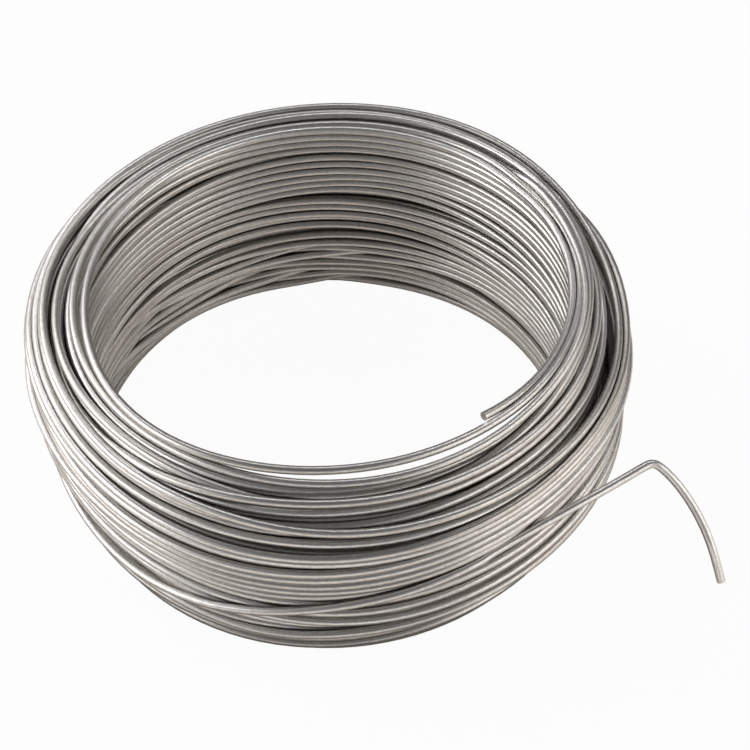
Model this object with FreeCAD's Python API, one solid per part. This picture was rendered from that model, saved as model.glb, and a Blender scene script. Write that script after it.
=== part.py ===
import FreeCAD, Part
import math
import os

from FreeCAD import Vector

# A coil of binding wire: one length of round wire, wound in layers and lying on its end.
# Millimetres. The origin is on the coil's axis, at the level that the coil lies on, and Z goes up the axis.

# The wire
wire_d = 2.0

# The wound pack, measured over its turns: its bore, how thick it is from the bore to its side, and its height
bore_d = 118.0
pack_w = 12.0
height = 59.0

# The bottom turns step in from the side by foot_w over foot_h
foot_w = 7.0
foot_h = 17.0

# The crown's turns slope down and out from crown_r, and drop crown_drop for each millimetre outwards.
# They lie round an axis that is crown_back behind the coil's own, so the crown is wide at the back, and at the
# front it slopes down from the bore.
crown_r = 66.8
crown_drop = 1.2
crown_back = 4.2

# Wide gaps where the crown's turns part: the radius in the middle of each, its width, its depth and the angle
# where it is that deep. It runs out part_reach to both sides of there.
parted = [(62.4, 2.4, 3.6, 12.0), (64.2, 2.4, 3.6, 278.0), (67.4, 2.6, 4.5, 85.0)]
part_reach = 60.0

# Neighbouring turns lie turn_gap apart. Each turn shows on the ends and the crown, with a groove between two.
turn_gap = 0.5
groove_depth = 0.6

# A turn of the foot is flat for land_w, where it bears on what it lies on
land_w = 0.7

# The turns of the side and of the bore lie in bands of about band_turns, with a gap between two bands
band_turns = 7
band_gap = 1.6
band_gap_depth = 0.8

# Angles are measured round the coil from the front, which is -Y, towards +X
# The inner cut end comes out of the bore's top turns, and its middle stands inner_end_in into the bore
inner_end_from = 86.0
inner_end_to = 33.0
inner_end_in = 2.5

# The outer end leaves the pack here, crosses the side of the coil and rises from tail_low to tail_high
tail_from = -84.0
tail_leave = 28.0
tail_low = 20.5
tail_high = 33.8
tail_bite = 0.8

# Then it runs straight for tail_run, rising by tail_rise, is bent sharply and curls down towards the front.
# Each curl point is the step from the bend, in X, Y and Z.
tail_run = 44.5
tail_rise = 6.4
tail_curl = [(7.0, -3.0, -4.6), (12.4, -8.6, -12.4), (16.6, -16.2, -22.6)]

# How finely the wire's route round the coil is stepped, and how tightly its corners are rounded
step_deg = 28.0
bend_share = 0.48

wire_r = wire_d / 2
bore_r = bore_d / 2
outer_r = bore_r + pack_w
pitch = wire_d + turn_gap


# Helpers in the half plane through the axis: x is the distance from the axis
def at(r, z):
    return Vector(r, 0, z)


def around(r, deg, z):
    a = math.radians(deg)
    return Vector(r * math.sin(a), -r * math.cos(a), z)


# The middle of the arc that is tangent to the coil's side at z_side and has turned in by width at z_end
def arc_middle(width, z_side, z_end):
    rise = z_end - z_side
    arc_r = (width ** 2 + rise ** 2) / (2 * width)
    half = math.atan2(rise, arc_r - width) / 2
    return at(outer_r - arc_r + arc_r * math.cos(half), z_side + arc_r * math.sin(half))


# A point of the pack's outline at a length along one of its lines, and one that lies in from it by depth.
# The outline runs anticlockwise, so the pack lies to its left.
def outline_point(line, length, depth=0.0):
    u = line.getParameterByLength(length)
    along = line.tangentAt(u)
    return line.valueAt(u) + Vector(-along.z, 0, along.x) * depth


# The pack's outline along a line that touches the crests of its turns: a ridge for each turn
def turns_along(line):
    turns = max(1, round(line.Length / pitch))
    step = line.Length / turns
    points = [outline_point(line, step / 2)]
    for i in range(1, turns):
        points.append(outline_point(line, i * step, groove_depth))
        points.append(outline_point(line, (i + 0.5) * step))
    return points


# The same in bands of several turns, with a gap between two bands. A band of a curved line follows its chord.
def bands_along(line):
    bands = max(1, round(line.Length / (band_turns * pitch)))
    step = line.Length / bands
    points = []
    for i in range(bands):
        start = i * step + (band_gap / 2 if i > 0 else 0)
        end = (i + 1) * step - (band_gap / 2 if i < bands - 1 else 0)
        points += [outline_point(line, start), outline_point(line, end)]
        if i < bands - 1:
            points.append(outline_point(line, (i + 1) * step, band_gap_depth))
    return points


# The turns that the coil lies on: each has a flat land at the height of the line
def turns_on_floor(line):
    turns = max(1, round(line.Length / pitch))
    step = line.Length / turns
    points = []
    for i in range(turns):
        crest = (i + 0.5) * step
        points.append(outline_point(line, crest - land_w / 2))
        points.append(outline_point(line, crest + land_w / 2))
        if i < turns - 1:
            points.append(outline_point(line, crest + step / 2, groove_depth))
    return points


def wound_pack():
    foot_end = at(outer_r - foot_w, 0)
    foot_side = at(outer_r, foot_h)
    bottom = Part.LineSegment(at(bore_r, 0), foot_end).toShape()
    foot = Part.Arc(foot_end, arc_middle(foot_w, foot_side.z, foot_end.z), foot_side).toShape()
    side = Part.LineSegment(foot_side, at(outer_r, height)).toShape()
    top = Part.LineSegment(at(outer_r, height), at(bore_r, height)).toShape()
    bore = Part.LineSegment(at(bore_r, height - 2 * wire_d), at(bore_r, wire_d)).toShape()
    points = turns_on_floor(bottom) + bands_along(foot) + bands_along(side)
    points += turns_along(top) + bands_along(bore)
    profile = Part.Face(Part.makePolygon(points + points[:1]))
    return profile.revolve(Vector(0, 0, 0), Vector(0, 0, 1), 360)


# What lies outside the crown's slope, turned about the crown's own axis
def crown_waste():
    reach = outer_r + crown_back + wire_d - crown_r
    slope = Part.LineSegment(at(crown_r + reach, height - crown_drop * reach), at(crown_r, height)).toShape()
    above = height + wire_d
    points = turns_along(slope)
    points += [at(crown_r, height), at(crown_r, above), at(crown_r + reach, above)]
    profile = Part.Face(Part.makePolygon(points + points[:1]))
    return profile.revolve(Vector(0, 0, 0), Vector(0, 0, 1), 360).translated(Vector(0, crown_back, 0))


# A ring that is tilted so that it cuts deepest at deg
def parted_ring(r, width, depth, deg):
    slope = depth / (r * (1 - math.cos(math.radians(part_reach))))
    low, high = r - width / 2, r + width / 2
    profile = Part.Face(Part.makePolygon([at(low, 0), at(high, 0), at(high, height), at(low, height), at(low, 0)]))
    ring = profile.revolve(Vector(0, 0, 0), Vector(0, 0, 1), 360)
    ring.rotate(Vector(0, 0, 0), Vector(0, 0, 1).cross(around(1, deg, 0)), math.degrees(math.atan(slope)))
    return ring.translated(Vector(0, 0, height - depth + r * slope))


# A round tube of the wire's thickness along straight runs joined by tangent arcs
def wire_along(points):
    edges = []
    start = points[0]
    for before, corner, after in zip(points, points[1:], points[2:]):
        back = before - corner
        on = after - corner
        turn = math.pi - back.getAngle(on)
        cut = bend_share * min(back.Length, on.Length)
        radius = cut / math.tan(turn / 2)
        back.normalize()
        on.normalize()
        first = corner + back * cut
        last = corner + on * cut
        towards = (back + on).normalize()
        middle = corner + towards * (math.hypot(radius, cut) - radius)
        edges.append(Part.LineSegment(start, first).toShape())
        edges.append(Part.Arc(first, middle, last).toShape())
        start = last
    edges.append(Part.LineSegment(start, points[-1]).toShape())
    path = Part.Wire(edges)
    section = Part.Wire(Part.Circle(points[0], points[1] - points[0], wire_r).toShape())
    return path.makePipeShell([section], True, True)


# A value that goes smoothly from 0 to 1 while x goes from low to high
def ease(x, low, high):
    t = min(1.0, max(0.0, (x - low) / (high - low)))
    return t * t * (3 - 2 * t)


# Corners of a route round the coil. They stand out as far as makes the runs between them touch the round of place.
def route_round(first, last, place):
    count = max(2, round(abs(last - first) / step_deg))
    width = (last - first) / count
    stretch = 1 / math.cos(math.radians(width / 2))
    points = [place(first)]
    for i in range(count):
        corner = place(first + (i + 0.5) * width)
        points.append(Vector(corner.x * stretch, corner.y * stretch, corner.z))
    return points


def inner_end_place(deg):
    share = ease(-deg, -inner_end_from, -inner_end_to)
    return around(bore_r + wire_r - (wire_r + inner_end_in) * share, deg, height - wire_d)


def inner_end():
    return wire_along(route_round(inner_end_from, inner_end_to, inner_end_place) + [inner_end_place(inner_end_to)])


def outer_end_place(deg):
    seat = outer_r + wire_r - tail_bite
    r = seat - (wire_d + wire_r) * (1 - ease(deg, tail_from, tail_from + 2 * step_deg))
    return around(r, deg, tail_low + (tail_high - tail_low) * ease(deg, tail_from / 2, tail_leave))


def outer_end():
    a = math.radians(tail_leave)
    bend = outer_end_place(tail_leave) + Vector(tail_run * math.cos(a), tail_run * math.sin(a), tail_rise)
    points = route_round(tail_from, tail_leave, outer_end_place) + [bend]
    points += [bend + Vector(*step) for step in tail_curl]
    return wire_along(points)


def make_coil():
    pack = wound_pack().cut([crown_waste()] + [parted_ring(*gap) for gap in parted])
    return pack.fuse([inner_end(), outer_end()])


coil = make_coil()
os.makedirs("parts", exist_ok=True)
coil.exportStep("parts/wire_coil.step")
print("wire_coil", coil.isValid(), len(coil.Solids), "solid", round(coil.Volume), "mm3", coil.BoundBox)
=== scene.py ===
from math import pi, radians

import bpy
import numpy as np
from mathutils import Matrix, Vector


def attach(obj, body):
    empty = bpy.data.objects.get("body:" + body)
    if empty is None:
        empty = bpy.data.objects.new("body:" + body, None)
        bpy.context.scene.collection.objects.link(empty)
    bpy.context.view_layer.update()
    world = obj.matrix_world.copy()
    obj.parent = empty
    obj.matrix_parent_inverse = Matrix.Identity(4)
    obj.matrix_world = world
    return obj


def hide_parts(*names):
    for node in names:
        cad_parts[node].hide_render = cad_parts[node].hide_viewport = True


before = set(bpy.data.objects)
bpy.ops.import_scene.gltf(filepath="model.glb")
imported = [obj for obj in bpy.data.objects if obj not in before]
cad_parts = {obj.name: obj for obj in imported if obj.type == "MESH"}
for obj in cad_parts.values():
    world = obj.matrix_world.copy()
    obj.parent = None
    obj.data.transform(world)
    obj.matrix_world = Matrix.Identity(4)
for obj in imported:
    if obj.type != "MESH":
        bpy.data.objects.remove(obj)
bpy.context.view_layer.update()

mm = 0.001


# One length of wire, wound from the inner cut end at the top of the bore.
# Lengths are in mm, and places round the coil in degrees from the front towards +X.
windSpec = {
    "wireThick": 2.0,
    "boreRadius": 59.0,      # to the inside of the innermost turns
    "height": 59.0,
    "layers": 6,
    "turnPitch": 2.5,
    "outerPitch": 2.75,      # of the outermost layer
    "stations": 108,         # points in one turn
    "startDeg": 38.0,        # where the inner cut end is

    # layers whose top turns lie low: the layer, where, how far to each side, how far down
    "sunk": ((1, 12, 58, 5.0), (3, 88, 62, 5.0), (2, 278, 50, 8.0), (0, 278, 45, 2.0)),
    # the loose band in the bore: where, how far to each side, its height, how far its turns part up and down,
    # how sharply they part, and how far up and down that reaches
    "slack": (185, 85, 20.0, 2.2, 1.2, 15),
    # the lowest turns of the bore lie farther out and up: where, how far to each side, how far out, how far up,
    # below which height, and over how much height that fades in
    "lowBore": (210, 125, 1.9, 1.2, 18, 6),
    # the lowest turn of the foot stands out and the next ones lie higher: where, how far to each side, how far
    # out, how far up, the height that parts them and over how much height, and the same for where it ends
    "lowFoot": (24, 34, 1.6, 1.5, 2.2, 1.5, 9, 5),
    # where the two outer layers stand off from the rest, for how far to each side, and each layer's place
    # between the bore and the side there
    "partedAt": 85.0,
    "partedFor": 64.0,
    "parted": (0.0, 0.14, 0.29, 0.48, 0.84, 1.0),

    "lean": (1.0, 0.75, 0.5),      # how far a run of neighbouring turns tilts and waves, up and down
    "bulge": (0.35, 0.3, 0.2),     # and in and out
    "leanTurns": 1.5,        # over how many turns that changes
    "quietEnds": 0.7,        # how much less a layer's first and last turns do so
    "wanderOut": 0.3,        # how far one turn strays alone, in and out
    "outPerTurn": 5,         # how often in a turn
    "wanderUp": 0.5,         # and up and down
    "upPerTurn": 2.5,
    "closest": 0.95,         # thicknesses between two turns of a layer as they are laid

    "rounds": 140,           # in which the turns settle
    "freeRounds": 30,        # the last ones, in which nothing draws a turn back to where it was laid
    "searchEvery": 12,       # rounds between two searches for neighbours
    "nearReach": 1.7,        # thicknesses
    "push": 0.55,            # how much of an overlap one round takes away
    "straighten": 0.3,       # how stiff the wire is
    "drawIn": 0.003,         # towards the bore in each round
    "holdWound": 0.012,      # how firmly a wound turn keeps its laid place
    "holdEnds": 0.25,        # and how firmly the first and the last turns do
    "cornerCuts": 4,         # how round the free end's bends are
    "seed": 164,
}

# the outside of the pack: degrees, its widest radius, the foot's radius at the floor and its height,
# the crown's radius at the top and the height where its slope ends
packShape = np.array((
    (0, 70.8, 64.4, 17, 64.5, 47), (22, 71.6, 63.3, 19, 64.2, 47), (45, 72.1, 62.9, 22, 64.0, 48),
    (70, 72.4, 65.0, 21, 64.0, 45), (90, 72.9, 67.0, 20, 64.0, 43), (135, 73.6, 66.0, 18, 71.5, 53),
    (180, 72.9, 65.0, 15, 72.0, 57), (205, 71.4, 65.0, 15, 69.6, 57), (225, 72.4, 65.0, 15, 69.2, 55.5),
    (250, 74.2, 64.0, 20, 67.8, 52), (270, 73.6, 62.5, 23, 65.0, 49), (282, 69.3, 62.5, 23, 64.3, 48.2),
    (295, 68.6, 62.5, 23, 63.0, 47), (315, 67.6, 63.6, 22, 62.0, 46), (337, 69.4, 63.9, 19, 63.5, 46)))

# the loose first turns, as degrees, radius and height
looseTurn = (
    (38, 56.2, 60.4), (43, 56.6, 59.3), (50, 57.0, 58.5), (60, 57.6, 58.0), (90, 59.3, 58.0),
    (130, 59.4, 58.0), (180, 58.2, 58.0), (230, 56.6, 58.2), (270, 55.4, 58.9), (284, 55.6, 59.3),
    (300, 57.3, 59.4), (316, 58.7, 59.4), (330, 58.2, 59.5), (360, 57.5, 59.7), (386, 57.8, 59.4),
    (398, 57.9, 59.2), (412, 58.4, 59.0), (430, 59.4, 58.6), (470, 60.0, 58.0), (600, 59.6, 57.9),
    (639, 58.8, 57.3), (657, 58.2, 57.2), (672, 58.7, 57.3), (690, 58.5, 57.6), (704, 59.3, 57.8),
    (722, 60.3, 57.9), (745, 60.8, 57.9), (770, 60.6, 58.0))

# the last turn, down over the outside to where it lets go
lastTurn = (
    (100, 71.5, 50.0), (125, 73.0, 47.0), (180, 72.2, 39.0), (240, 70.8, 31.5), (276, 68.8, 26.0),
    (296, 68.0, 22.9), (312, 69.5, 20.0), (321, 69.7, 19.8), (331.5, 70.1, 21.9), (340, 70.5, 23.4),
    (345.3, 70.7, 24.6), (355, 71.1, 28.6), (363.7, 71.3, 31.1), (372.7, 71.3, 32.5), (382, 71.3, 33.5),
    (388, 71.3, 33.9))

# the free end, as X, Y and Z: a straight run, a sharp bend and a curl down
freeEnd = (
    (36.9, -61.0, 34.4), (52.0, -53.0, 36.8), (66.0, -45.7, 39.1), (71.2, -42.9, 40.2), (73.4, -41.9, 40.5),
    (75.4, -42.4, 39.6), (79.1, -44.5, 36.3), (82.5, -47.5, 32.3), (85.2, -51.0, 28.3), (87.2, -54.5, 24.2),
    (89.4, -58.1, 17.0))


def smoothNoise(rng, count, step, amount):
    # a value that wanders gently: random knots every step points, eased between
    knots = rng.normal(0.0, amount, int(count / step) + 4)
    x = np.arange(count) / step
    i = x.astype(int)
    t = x - i
    t = t * t * (3 - 2 * t)
    return knots[i] * (1 - t) + knots[i + 1] * t


def easedThrough(degrees, knots, rounds=12):
    # radius and height at each angle, rounded off where the knots turn
    knots = np.array(knots, float)
    place = np.stack([np.interp(degrees, knots[:, 0], knots[:, k]) for k in (1, 2)], -1)
    for i in range(rounds):
        place[1:-1] += 0.5 * (0.5 * (place[:-2] + place[2:]) - place[1:-1])
    return place


def swell(degrees, at, spread):
    # 1 at one place round the coil, and smoothly 0 from so far on each side of it
    away = np.abs((degrees - at + 180) % 360 - 180) / spread
    return np.where(away < 1, np.cos(away * pi / 2) ** 2, 0)


def layerRange(spec, layer, degrees):
    # a layer's radius and its lowest and highest wire, where the pack is as wide as packShape says
    half = spec["wireThick"] / 2
    wide, foot, footTop, crown, shoulder = [np.interp(degrees, packShape[:, 0], packShape[:, k], period=360)
                                            for k in range(1, 6)]
    parted = swell(degrees, spec["partedAt"], spec["partedFor"])
    share = layer / (spec["layers"] - 1) * (1 - parted) + spec["parted"][layer] * parted
    inner = spec["boreRadius"] + half
    r = inner + share * (wide - half - inner)
    low = half + footTop * np.clip((r + half - foot) / (wide - foot), 0, 1)
    high = spec["height"] - half
    high = high - (spec["height"] - shoulder) * np.clip((r + half - crown) / (wide - crown), 0, 1)
    for sunk, at, spread, drop in spec["sunk"]:
        if sunk == layer:
            high = high - drop * swell(degrees, at, spread)
    return r, low, high


def layTurns(spec, rng):
    # the tidy winding: the loose turns, the layers running down and up the bore, the last turn
    n = spec["stations"]
    half = spec["wireThick"] / 2
    step = 360 / n
    degrees = np.arange(looseTurn[0][0], looseTurn[-1][0], step)
    parts = [easedThrough(degrees, looseTurn)]
    inside = [np.zeros(len(degrees))]
    at = degrees[-1] + step
    for layer in range(spec["layers"]):
        r, low, high = layerRange(spec, layer, np.arange(0, 360, step))
        pitch = spec["outerPitch"] if layer == spec["layers"] - 1 else spec["turnPitch"]
        end = at + (high - low).mean() / pitch * 360
        if layer == spec["layers"] - 1:
            end = lastTurn[0][0] + 360 * round((end - lastTurn[0][0]) / 360)
        degrees = np.arange(at, end - step / 2, step)
        share = (degrees - at) / (end - at)
        if layer % 2 == 0:
            share = 1 - share
        r, low, high = layerRange(spec, layer, degrees)
        z = low + (high - low) * share
        bore = np.full(len(z), spec["boreRadius"] + half)
        if layer == 0:
            middle, spread, level, gap, sharp, reach = spec["slack"]
            off = z - level
            z = z + gap * swell(degrees, middle, spread) * np.tanh(off / sharp) * np.exp(-(off / reach) ** 2)
            middle, spread, out, up, below, blend = spec["lowBore"]
            lowest = swell(degrees, middle, spread) * np.clip((below - z) / blend, 0, 1)
            bore, r, z = bore + out * lowest, r + out * lowest, z + up * lowest
        if layer == 1:
            middle, spread, out, up, floorTop, blend, below, endBlend = spec["lowFoot"]
            over = np.clip((z - floorTop) / blend, 0, 1)
            r = r + out * swell(degrees, middle, spread) * (1 - over)
            z = z + up * swell(degrees, middle, spread) * over * np.clip((below - z) / endBlend, 0, 1)
        inside.append(bore)
        fade = 1 - spec["quietEnds"] * np.abs(2 * share - 1) ** 4
        for m in range(len(spec["lean"])):
            around = np.radians((m + 1) * degrees)
            for wave in (np.cos(around), np.sin(around)):
                z = z + fade * wave * smoothNoise(rng, len(z), spec["leanTurns"] * n, spec["lean"][m])
                r = r + wave * smoothNoise(rng, len(z), spec["leanTurns"] * n, spec["bulge"][m])
        r = r + smoothNoise(rng, len(z), n / spec["outPerTurn"], spec["wanderOut"])
        z = z + smoothNoise(rng, len(z), n / spec["upPerTurn"], spec["wanderUp"])
        way = 1 if layer % 2 else -1
        for k in range(n, len(z), n):     # the turns of a layer keep their order
            row = z[k:k + n]
            least = way * z[k - n:k][:len(row)] + spec["wireThick"] * spec["closest"]
            row[:] = way * np.maximum(way * row, least)
        parts.append(np.stack([r, z], -1))
        at = degrees[-1] + step
    turned = at - lastTurn[0][0]
    degrees = np.arange(at, turned + lastTurn[-1][0] + step / 2, step)
    parts.append(easedThrough(degrees - turned, lastTurn))
    first, last = len(parts[0]), len(parts[-1])
    place = np.concatenate(parts)
    held = np.full(len(place), spec["holdWound"])
    held[:first] = held[-last:] = spec["holdEnds"]
    inside.append(np.zeros(last))
    return place, held[:, None], np.concatenate(inside)


def settle(spec, home, held, inside):
    # push overlapping turns apart at every station, while the wire's stiffness keeps it smooth
    n = spec["stations"]
    real = len(home)
    turns = -(-real // n)
    spare = turns * n - real      # stand-ins far off, to fill the last turn
    home = np.concatenate([home, np.stack([np.arange(spare) + 500.0, np.zeros(spare)], -1)])
    held = np.concatenate([held, np.zeros((spare, 1))])
    inside = np.concatenate([inside, np.zeros(spare)])
    thick = spec["wireThick"]
    place = home.copy()
    first, second = np.triu_indices(turns, 1)
    batch, skip = 2000, 6         # pairs of turns compared at a time, at every so many stations
    for i in range(spec["rounds"]):
        turn = place.reshape(turns, n, 2)
        if i % spec["searchEvery"] == 0:
            near = []
            for a in range(0, len(first), batch):
                gap = turn[first[a:a + batch], ::skip] - turn[second[a:a + batch], ::skip]
                near.append((gap ** 2).sum(-1).min(-1) < (thick * spec["nearReach"]) ** 2)
            near = np.concatenate(near)
            one, other = first[near], second[near]
        gap = turn[one] - turn[other]
        apart = np.sqrt((gap ** 2).sum(-1)) + 1e-9
        push = gap * (np.clip(thick - apart, 0, None) * 0.5 / apart)[..., None]
        move = np.zeros_like(turn)
        np.add.at(move, one, push)
        np.add.at(move, other, -push)
        place = (turn + spec["push"] * move).reshape(-1, 2)
        if i < spec["rounds"] - spec["freeRounds"]:
            place = place + held * (home - place)
            place[:, 0] -= np.where(inside > 0, spec["drawIn"], 0)
        straight = 0.5 * (place[:real - 2] + place[2:real])
        place[1:real - 1] += spec["straighten"] * (straight - place[1:real - 1])
        place[:, 0] = np.maximum(place[:, 0], inside)
        place[:, 1] = np.maximum(place[:, 1], thick / 2)
    return place[:real]


def roundedLine(points, times):
    # cut the corners again and again, ends kept
    points = np.array(points, float)
    for i in range(times):
        a, b = points[:-1], points[1:]
        cut = np.stack([a * 0.75 + b * 0.25, a * 0.25 + b * 0.75], 1).reshape(-1, 3)
        points = np.concatenate([points[:1], cut[1:-1], points[-1:]])
    return points


def windWire(spec):
    rng = np.random.default_rng(spec["seed"])
    home, held, inside = layTurns(spec, rng)
    place = settle(spec, home, held, inside)
    turned = radians(spec["startDeg"]) + 2 * pi * np.arange(len(place)) / spec["stations"]
    wound = np.stack([place[:, 0] * np.sin(turned), -place[:, 0] * np.cos(turned), place[:, 1]], -1)
    return wound, roundedLine(np.concatenate([wound[-1:], freeEnd]), spec["cornerCuts"])


sweepSpec = {
    "sides": 12,
    "turnsPerPiece": 65,      # keeps each piece's mesh light
}


def addNode(tree, kind, settings=None, links=None):
    # one node, its own settings, and what feeds each of its inputs
    node = tree.nodes.new(kind)
    for name, value in (settings or {}).items():
        setattr(node, name, value)
    for name, source in (links or {}).items():
        socket = node.inputs[name]
        if hasattr(source, "is_output"):
            tree.links.new(source, socket)
        else:
            socket.default_value = source
    return node


def sweptWireTree():
    # a round wire swept along a curve, with what the finish needs to follow it
    tree = bpy.data.node_groups.new("sweptWire", "GeometryNodeTree")
    sockets = tree.interface
    sockets.new_socket("Geometry", in_out="INPUT", socket_type="NodeSocketGeometry")
    for name, kind in (("Thickness", "NodeSocketFloat"), ("Sides", "NodeSocketInt"),
                       ("Finish", "NodeSocketMaterial")):
        sockets.new_socket(name, in_out="INPUT", socket_type=kind)
    sockets.new_socket("Geometry", in_out="OUTPUT", socket_type="NodeSocketGeometry")
    given = addNode(tree, "NodeGroupInput").outputs
    radius = addNode(tree, "ShaderNodeMath", {"operation": "MULTIPLY"}, {0: given["Thickness"], 1: 0.5})
    along = addNode(tree, "GeometryNodeSplineParameter")
    path = addNode(tree, "GeometryNodeStoreNamedAttribute", {"data_type": "FLOAT", "domain": "POINT"},
                   {"Geometry": given["Geometry"], "Name": "alongWire", "Value": along.outputs["Length"]})
    ring = addNode(tree, "GeometryNodeCurvePrimitiveCircle", {"mode": "RADIUS"},
                   {"Resolution": given["Sides"], "Radius": radius.outputs[0]})
    where = addNode(tree, "GeometryNodeInputPosition")
    section = addNode(tree, "GeometryNodeStoreNamedAttribute", {"data_type": "FLOAT_VECTOR", "domain": "POINT"},
                      {"Geometry": ring.outputs["Curve"], "Name": "roundWire", "Value": where.outputs[0]})
    tube = addNode(tree, "GeometryNodeCurveToMesh", None,
                   {"Curve": path.outputs[0], "Profile Curve": section.outputs[0], "Fill Caps": True})
    smooth = addNode(tree, "GeometryNodeSetShadeSmooth", None, {"Geometry": tube.outputs[0]})
    real = addNode(tree, "GeometryNodeRealizeInstances", None, {"Geometry": smooth.outputs[0]})
    done = addNode(tree, "GeometryNodeSetMaterial", None,
                   {"Geometry": real.outputs[0], "Material": given["Finish"]})
    addNode(tree, "NodeGroupOutput", None, {"Geometry": done.outputs[0]})
    return tree


def sweepWire(name, points, tree, finish):
    curve = bpy.data.curves.new(name + "Path", "CURVE")
    curve.dimensions = "3D"
    spline = curve.splines.new("POLY")
    spline.points.add(len(points) - 1)
    spline.points.foreach_set("co", np.c_[points * mm, np.ones(len(points))].ravel())
    drawn = bpy.data.objects.new(name + "Path", curve)
    bpy.context.collection.objects.link(drawn)
    swept = drawn.modifiers.new("sweptWire", "NODES")
    swept.node_group = tree
    values = {"Thickness": windSpec["wireThick"] * mm, "Sides": sweepSpec["sides"], "Finish": finish}
    for item in tree.interface.items_tree:
        if item.in_out == "INPUT" and item.name in values:
            swept[item.identifier] = values[item.name]
    seen = drawn.evaluated_get(bpy.context.evaluated_depsgraph_get())
    piece = bpy.data.objects.new(name, bpy.data.meshes.new_from_object(seen))
    piece.data.name = name
    bpy.context.collection.objects.link(piece)
    bpy.data.objects.remove(drawn)
    return piece


def hexColour(code):
    # an sRGB hex colour as linear
    parts = [int(code[i:i + 2], 16) / 255 for i in (0, 2, 4)]
    return [p / 12.92 if p <= 0.04045 else ((p + 0.055) / 1.055) ** 2.4 for p in parts] + [1.0]


def easedRange(tree, value, span):
    # a value eased from one place to another, with a result for each: place, place, result, result
    names = ("From Min", "From Max", "To Min", "To Max")
    return addNode(tree, "ShaderNodeMapRange", {"interpolation_type": "SMOOTHSTEP"},
                   {"Value": value, **dict(zip(names, span))}).outputs[0]


steelSpec = {
    "bright": "e4e2e0",      # where the die has burnished it
    "dull": "c9c5c0",        # where soap and handling have dulled it
    "toneLength": 130.0,     # mm along the wire from one tone to the next
    "toneRange": (0.36, 0.64),   # of the noise that chooses between the two
    "streakWidth": 0.35,     # mm, die lines: finer on the real wire, drawn as coarse as shows
    "streakLength": 14.0,
    "grain": 0.6,            # mm, fine mottling
    "grainStretch": 1.6,     # how much longer than wide
    "mottle": (0.7, 1.3),    # the range of lines and mottling together that shows
    "shade": (0.8, 1.1),     # how dark and how light they make it
    "roughness": 0.31,
    "roughMore": 0.08,       # on top of that where they are dark
    "crevice": 1.6,          # mm, how far between the turns the painted shade reaches, darkening the colour where turns close in
    "creviceShade": (0.08, 0.5, 0.12, 1.0),     # from how closed in to how open, and what is left of the colour under the painted shade
    "relief": 0.0035,        # mm
}


def drawnSteel(spec, thick):
    # Bright drawn mild steel wire: the die leaves fine lines along it, so that highlights run lengthwise
    # and sparkle
    finish = bpy.data.materials.new("drawnSteel")
    finish.use_nodes = True
    tree = finish.node_tree
    tree.nodes.clear()
    ring = addNode(tree, "ShaderNodeAttribute", {"attribute_name": "roundWire"})
    along = addNode(tree, "ShaderNodeAttribute", {"attribute_name": "alongWire"})
    place = addNode(tree, "ShaderNodeCombineXYZ", None, {"Z": along.outputs["Fac"]})
    place = addNode(tree, "ShaderNodeVectorMath", {"operation": "ADD"},
                    {0: ring.outputs["Vector"], 1: place.outputs[0]})

    def pattern(across, length, detail, rough):
        # noise whose marks are this many mm wide and long on the wire
        scale = (1 / (across * mm), 1 / (across * mm), 1 / (length * mm))
        sized = addNode(tree, "ShaderNodeMapping", None, {"Vector": place.outputs[0], "Scale": scale})
        noise = addNode(tree, "ShaderNodeTexNoise", None,
                        {"Vector": sized.outputs[0], "Scale": 1.0, "Detail": detail, "Roughness": rough})
        return noise.outputs[0]

    streaks = pattern(spec["streakWidth"], spec["streakLength"], 3.0, 0.6)
    grain = pattern(spec["grain"], spec["grain"] * spec["grainStretch"], 1.0, 0.6)
    tone = pattern(thick * 2, spec["toneLength"], 2.0, 0.5)
    one, other = spec["toneRange"]
    tone = addNode(tree, "ShaderNodeMapRange", None, {"Value": tone, "From Min": one, "From Max": other})
    colour = addNode(tree, "ShaderNodeMix", {"data_type": "RGBA"},
                     {0: tone.outputs[0], 6: hexColour(spec["bright"]), 7: hexColour(spec["dull"])})
    mottle = addNode(tree, "ShaderNodeMath", {"operation": "ADD"}, {0: streaks, 1: grain})
    weak, strong = spec["mottle"]
    dark, light = spec["shade"]
    shade = addNode(tree, "ShaderNodeMapRange", None,
                    {"Value": mottle.outputs[0], "From Min": weak, "From Max": strong,
                     "To Min": dark, "To Max": light})
    # painted shade between the turns: the colour is darkened where neighbouring turns close in on it
    paintedGapShade = addNode(tree, "ShaderNodeAmbientOcclusion", {"samples": 6}, {"Distance": spec["crevice"] * mm})
    paintedGapShade = easedRange(tree, paintedGapShade.outputs["AO"], spec["creviceShade"])
    shade = addNode(tree, "ShaderNodeMath", {"operation": "MULTIPLY"}, {0: shade.outputs[0], 1: paintedGapShade})
    shaded = addNode(tree, "ShaderNodeVectorMath", {"operation": "SCALE"},
                     {0: colour.outputs[2], "Scale": shade.outputs[0]})
    rough = addNode(tree, "ShaderNodeMapRange", None,
                    {"Value": mottle.outputs[0], "From Min": weak, "From Max": strong,
                     "To Min": spec["roughness"] + spec["roughMore"], "To Max": spec["roughness"]})
    relief = addNode(tree, "ShaderNodeBump", None,
                     {"Height": mottle.outputs[0], "Strength": 1.0, "Distance": spec["relief"] * mm})
    shader = addNode(tree, "ShaderNodeBsdfPrincipled", None,
                     {"Metallic": 1.0, "Base Color": shaded.outputs[0], "Roughness": rough.outputs[0],
                      "Normal": relief.outputs[0]})
    addNode(tree, "ShaderNodeOutputMaterial", None, {"Surface": shader.outputs[0]})
    return finish


steel = drawnSteel(steelSpec, windSpec["wireThick"])
tree = sweptWireTree()
wound, loose = windWire(windSpec)
turns = len(wound) // windSpec["stations"]
wound = np.concatenate([wound, loose[1:]])
length = np.linalg.norm(np.diff(wound, axis=0), axis=1).sum() * mm
print("wound", turns, "turns,", round(length, 1), "m of wire with its free end")

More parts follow.
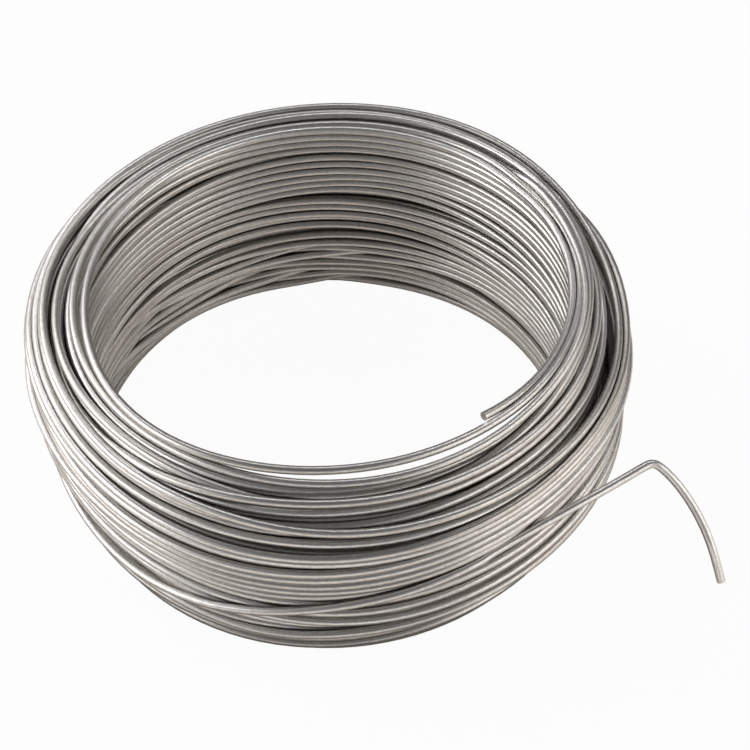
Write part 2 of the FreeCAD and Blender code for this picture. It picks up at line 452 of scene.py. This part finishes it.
count = sweepSpec["turnsPerPiece"] * windSpec["stations"]
pieces = []
for i, start in enumerate(range(0, len(wound) - 1, count)):
    pieces.append(sweepWire(f"wound_wire_{i + 1}", wound[start:start + count + 1], tree, steel))
for piece in pieces:
    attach(piece, "root")
    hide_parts("wire_coil")
    print(piece.name, sum(len(p.vertices) - 2 for p in piece.data.polygons), "triangles")


# the photograph's view, in mm
viewSpec = {
    "eye": (11.395, -296.806, 343.695),
    "aim": (11.395, 0.0, 27.166),
    "rollDeg": -1.5046,
    "focalPixels": 1753.54,
    "framePixels": 750,
    "sensor": 36.0,
}


def placeCamera(spec):
    eye, aim = Vector(spec["eye"]) * mm, Vector(spec["aim"]) * mm
    lens = bpy.data.cameras.new("photoView")
    lens.sensor_width = spec["sensor"]
    lens.lens = spec["focalPixels"] / spec["framePixels"] * spec["sensor"]
    lens.clip_start = 0.01
    camera = bpy.data.objects.new("photoView", lens)
    bpy.context.collection.objects.link(camera)
    turn = (aim - eye).to_track_quat("-Z", "Y").to_matrix().to_4x4()
    camera.matrix_world = Matrix.Translation(eye) @ turn @ Matrix.Rotation(radians(spec["rollDeg"]), 4, "Z")
    bpy.context.scene.camera = camera


placeCamera(viewSpec)
print("camera placed")


# in metres; each span is two places and the strength at each
floorSpec = {
    "side": 3.0,             # from the middle to an edge
    "paint": "f4f4f4",
    "seenWhite": 0.96,       # how much of what the camera sees is plain white
    "mirrorTint": (1.0, 0.93, 0.85, 1),       # its colour in the steel
    "outside": (0.066, 0.14, 0.15, 0.98),     # painted shadow: from the coil's side outwards
    "inside": (0.05, 0.062, 0.62, 0.15),      # painted shadow: in the bore, towards the turns
    "behind": (0.04, 0.22, 1.0, 0.35),        # painted shade: towards the back, on top of those two
}


def layFloor(spec):
    side = spec["side"]
    floor = bpy.data.meshes.new("floor")
    corners = [(-side, -side, 0), (side, -side, 0), (side, side, 0), (-side, side, 0)]
    floor.from_pydata(corners, [], [(0, 1, 2, 3)])
    floor = bpy.data.objects.new("floor", floor)
    bpy.context.collection.objects.link(floor)
    paint = bpy.data.materials.new("paleFloor")
    paint.use_nodes = True
    tree = paint.node_tree
    tree.nodes.clear()
    lit = addNode(tree, "ShaderNodeBsdfDiffuse", None, {"Color": hexColour(spec["paint"])})
    rays = addNode(tree, "ShaderNodeLightPath").outputs
    where = addNode(tree, "ShaderNodeTexCoord").outputs["Object"]
    away = addNode(tree, "ShaderNodeVectorMath", {"operation": "LENGTH"}, {0: where})
    place = addNode(tree, "ShaderNodeSeparateXYZ", None, {0: where})
    # what the steel mirrors: painted shadow, dim close to the coil, and painted shade, dimmer behind it than in
    # front
    outside = easedRange(tree, away.outputs["Value"], spec["outside"])
    inside = easedRange(tree, away.outputs["Value"], spec["inside"])
    behind = easedRange(tree, place.outputs["Y"], spec["behind"])
    paintedShadeInMirror = addNode(tree, "ShaderNodeMath", {"operation": "MAXIMUM"}, {0: outside, 1: inside})
    paintedShadeInMirror = addNode(tree, "ShaderNodeMath", {"operation": "MULTIPLY"}, {0: paintedShadeInMirror.outputs[0], 1: behind})
    strength = addNode(tree, "ShaderNodeMapRange", None,
                       {"Value": rays["Is Camera Ray"], "To Min": paintedShadeInMirror.outputs[0], "To Max": 1.0})
    white = addNode(tree, "ShaderNodeMix", {"data_type": "RGBA"},
                    {0: rays["Is Camera Ray"], 6: spec["mirrorTint"], 7: (1, 1, 1, 1)})
    white = addNode(tree, "ShaderNodeEmission", None,
                    {"Color": white.outputs[2], "Strength": strength.outputs[0]})
    seen = addNode(tree, "ShaderNodeMath", {"operation": "MAXIMUM"},
                   {0: rays["Is Glossy Ray"], 1: rays["Is Transmission Ray"]})
    share = addNode(tree, "ShaderNodeMapRange", None,
                    {"Value": rays["Is Camera Ray"], "To Min": seen.outputs[0], "To Max": spec["seenWhite"]})
    mixed = addNode(tree, "ShaderNodeMixShader", None,
                    {0: share.outputs[0], 1: lit.outputs[0], 2: white.outputs[0]})
    addNode(tree, "ShaderNodeOutputMaterial", None, {"Surface": mixed.outputs[0]})
    floor.data.materials.append(paint)


layFloor(floorSpec)
print("floor laid")


# soft boxes that face the coil: place and size in m, power in W, tint
lampSpec = {
    "leftBox": ((-0.75, 0.0, 0.4), (0.9, 0.5), 4.5, (1, 1, 1)),
    "rightBox": ((0.75, -0.25, 0.36), (1.0, 0.62), 2.85, (1.0, 0.965, 0.92)),
    "backLeftBox": ((-0.62, 0.6, 0.58), (0.6, 0.35), 1.5, (1, 1, 1)),
    "backBox": ((0.05, 0.42, 0.76), (0.9, 0.18), 1.35, (1, 1, 1)),
}


def softLight(name, place, size, power, tint):
    lamp = bpy.data.lights.new(name, "AREA")
    lamp.shape = "RECTANGLE"
    lamp.size, lamp.size_y = size
    lamp.energy = power
    lamp.color = tint
    lit = bpy.data.objects.new(name, lamp)
    bpy.context.collection.objects.link(lit)
    lit.location = place
    coilMiddle = Vector((0, 0, 0.03))
    lit.rotation_euler = (coilMiddle - Vector(place)).to_track_quat("-Z", "Y").to_euler()


for name, settings in lampSpec.items():
    softLight(name, *settings)
print(len(lampSpec), "lamps placed")


# each span is how little and how much a direction faces the way named, and the strength at each
studioSpec = {
    "brightWay": (-0.99, 0.14, 0.0),       # the backdrop is brighter on the left
    "backdrop": (0.3, 0.95, 0.25, 0.95),
    "edge": (0.02, 0.18),                  # how high up it ends
    "ceiling": 0.13,
    "frontWay": (0.0, -1.0, 0.0),          # and a soft fill comes from the front
    "fill": (0.2, 0.9, 0.0, 0.55),
    "fillUp": (0.0, 0.6, 1.0, 0.0),        # which fades upwards
    "tint": (0.96, 0.98, 1.0, 1),
    "seenWhite": 0.98,                     # what the camera sees instead
}


def lightStudio(spec):
    # white low down on the left, as the backdrop is, and darker overhead
    world = bpy.data.worlds.new("studio")
    bpy.context.scene.world = world
    world.use_nodes = True
    tree = world.node_tree
    tree.nodes.clear()
    where = addNode(tree, "ShaderNodeTexCoord")
    up = addNode(tree, "ShaderNodeSeparateXYZ", None, {0: where.outputs["Generated"]})
    side = addNode(tree, "ShaderNodeVectorMath", {"operation": "DOT_PRODUCT"},
                   {0: where.outputs["Generated"], 1: spec["brightWay"]})
    low = easedRange(tree, side.outputs["Value"], spec["backdrop"])
    sky = easedRange(tree, up.outputs["Z"], (*spec["edge"], low, spec["ceiling"]))
    ahead = addNode(tree, "ShaderNodeVectorMath", {"operation": "DOT_PRODUCT"},
                    {0: where.outputs["Generated"], 1: spec["frontWay"]})
    ahead = easedRange(tree, ahead.outputs["Value"], spec["fill"])
    raised = easedRange(tree, up.outputs["Z"], spec["fillUp"])
    front = addNode(tree, "ShaderNodeMath", {"operation": "MULTIPLY"}, {0: ahead, 1: raised})
    sky = addNode(tree, "ShaderNodeMath", {"operation": "ADD"}, {0: sky, 1: front.outputs[0]})
    # the camera sees a plain white backdrop
    rays = addNode(tree, "ShaderNodeLightPath").outputs
    sky = addNode(tree, "ShaderNodeMapRange", None,
                  {"Value": rays["Is Camera Ray"], "To Min": sky.outputs[0], "To Max": spec["seenWhite"]})
    tint = addNode(tree, "ShaderNodeMix", {"data_type": "RGBA"},
                   {0: rays["Is Camera Ray"], 6: spec["tint"], 7: (1, 1, 1, 1)})
    sky = addNode(tree, "ShaderNodeBackground", None, {"Color": tint.outputs[2], "Strength": sky.outputs[0]})
    addNode(tree, "ShaderNodeOutputWorld", None, {"Surface": sky.outputs[0]})


lightStudio(studioSpec)
print("studio lit")

bpy.context.scene.view_settings.view_transform = "Standard"
